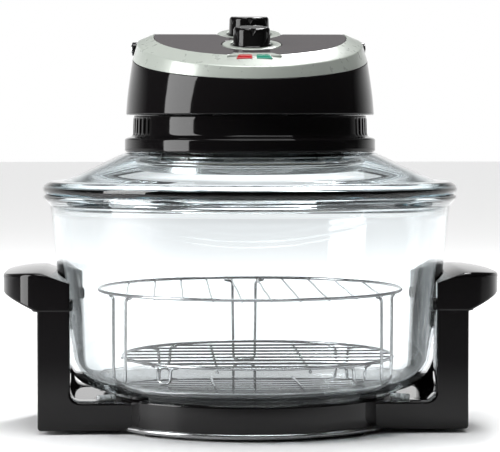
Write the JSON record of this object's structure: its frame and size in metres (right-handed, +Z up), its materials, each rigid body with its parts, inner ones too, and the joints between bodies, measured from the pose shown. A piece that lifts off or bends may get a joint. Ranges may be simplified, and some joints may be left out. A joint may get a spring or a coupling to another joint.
{
  "type": "halogen oven",
  "caption": "Tabletop convection oven: glass bowl on a two-handled stand, glass lid with a round power head, wire racks inside.",
  "frame": {"origin": "centre of the footprint, on the surface that the oven stands on", "axes": "+Z up, -Y towards the front where the knobs tilt, +X to the right along the two side handles"},
  "size_m": [0.3908, 0.33, 0.3277],
  "materials": {
    "black_gloss": "piano black moulded plastic",
    "panel_gloss": "glossy black control panel",
    "silver_plastic": "satin silver paint on plastic",
    "black_rubber": "matt",
    "pale_silicone": "translucent satin",
    "clear_glass": "clear, faint blue-green edge",
    "chrome_wire": "bright plated wire",
    "sheet_steel": "bright sheet",
    "quartz": "frosted quartz tube",
    "red_lens": "clear red plastic",
    "green_lens": "clear green plastic",
    "dark_plastic": "moulded dark grey"
  },
  "bodies": {
    "stand": {"base_plinth": "black_gloss", "left_side_frame": "black_gloss", "right_side_frame": "black_gloss", "left_handle": "black_gloss", "right_handle": "black_gloss", "bowl_buffer_front_left": "black_rubber", "bowl_buffer_rear_left": "black_rubber", "bowl_buffer_front_right": "black_rubber", "bowl_buffer_rear_right": "black_rubber", "bowl_pad_front_left": "black_rubber", "bowl_pad_rear_left": "black_rubber", "bowl_pad_front_right": "black_rubber", "bowl_pad_rear_right": "black_rubber", "bowl_peg_front_left": "pale_silicone", "bowl_peg_rear_left": "pale_silicone", "bowl_peg_front_right": "pale_silicone", "bowl_peg_rear_right": "pale_silicone", "rubber_foot_front_left": "black_rubber", "rubber_foot_rear_left": "black_rubber", "rubber_foot_front_right": "black_rubber", "rubber_foot_rear_right": "black_rubber"},
    "bowl": {"glass_bowl": "clear_glass"},
    "high_rack": {"high_rack_grid": "chrome_wire", "high_rack_leg_rear": "chrome_wire", "high_rack_leg_left": "chrome_wire", "high_rack_leg_right": "chrome_wire"},
    "low_rack": {"low_rack": "chrome_wire"},
    "lid": {"lid_glass": "clear_glass", "lower_housing": "black_gloss", "upper_shell": "black_gloss", "trim_ring": "silver_plastic", "control_panel": "panel_gloss", "timer_dial_plate": "silver_plastic", "thermostat_dial_plate": "silver_plastic", "timer_module": "dark_plastic", "thermostat_module": "dark_plastic", "red_lens": "red_lens", "green_lens": "green_lens", "motor_body": "dark_plastic", "heat_shield": "sheet_steel", "reflector_dish": "sheet_steel", "halogen_tube": "quartz", "tube_holder_left": "pale_silicone", "tube_holder_right": "pale_silicone", "guard_pan": "sheet_steel", "wire_guard": "chrome_wire", "handle_pin_left": "sheet_steel", "handle_pin_right": "sheet_steel", "microswitch": "dark_plastic", "power_inlet": "dark_plastic"},
    "fan_rotor": {"motor_shaft": "sheet_steel", "hot_air_fan": "sheet_steel", "cooling_fan": "dark_plastic"},
    "timer_dial": {"timer_knob": "black_gloss", "timer_shaft": "sheet_steel"},
    "thermostat_dial": {"thermostat_knob": "black_gloss", "thermostat_shaft": "sheet_steel"},
    "carry_handle": {"safety_handle": "black_gloss"},
    "plunger": {"switch_plunger": "silver_plastic"}
  },
  "joints": [
    {"name": "bowl_lift", "type": "slide", "parent": "stand", "child": "bowl", "axis": [0, 0, 1], "range_m": [0, 0.12]},
    {"name": "lid_lift", "type": "slide", "parent": "bowl", "child": "lid", "axis": [0, 0, 1], "range_m": [0, 0.36]},
    {"name": "high_rack_lift", "type": "slide", "parent": "bowl", "child": "high_rack", "axis": [0, 0, 1], "range_m": [0, 0.18]},
    {"name": "low_rack_lift", "type": "slide", "parent": "bowl", "child": "low_rack", "axis": [0, 0, 1], "range_m": [0, 0.162]},
    {"name": "fan_spin", "type": "hinge", "parent": "lid", "child": "fan_rotor", "pos_m": [0, 0, 0.23], "axis": [0, 0, 1], "continuous": true},
    {"name": "timer_turn", "type": "hinge", "parent": "lid", "child": "timer_dial", "pos_m": [0, -0.031, 0.3003], "axis": [0, -0.1564, 0.9877], "range_deg": [-300, 0]},
    {"name": "thermostat_turn", "type": "hinge", "parent": "lid", "child": "thermostat_dial", "pos_m": [0, 0.018, 0.31], "axis": [0, -0.0872, 0.9962], "range_deg": [-270, 0]},
    {"name": "handle_swing", "type": "hinge", "parent": "lid", "child": "carry_handle", "pos_m": [0, 0.028, 0.3], "axis": [1, 0, 0], "range_deg": [0, 97]},
    {"name": "plunger_travel", "type": "slide", "parent": "lid", "child": "plunger", "axis": [0, 0, 1], "range_m": [0, 0.002]}
  ],
  "couplings": [
    {"joint": "high_rack_lift", "follows": "lid_lift", "ratio": 0.5},
    {"joint": "low_rack_lift", "follows": "lid_lift", "ratio": 0.45},
    {"joint": "plunger_travel", "follows": "handle_swing", "m_per_rad": 0.0011}
  ]
}
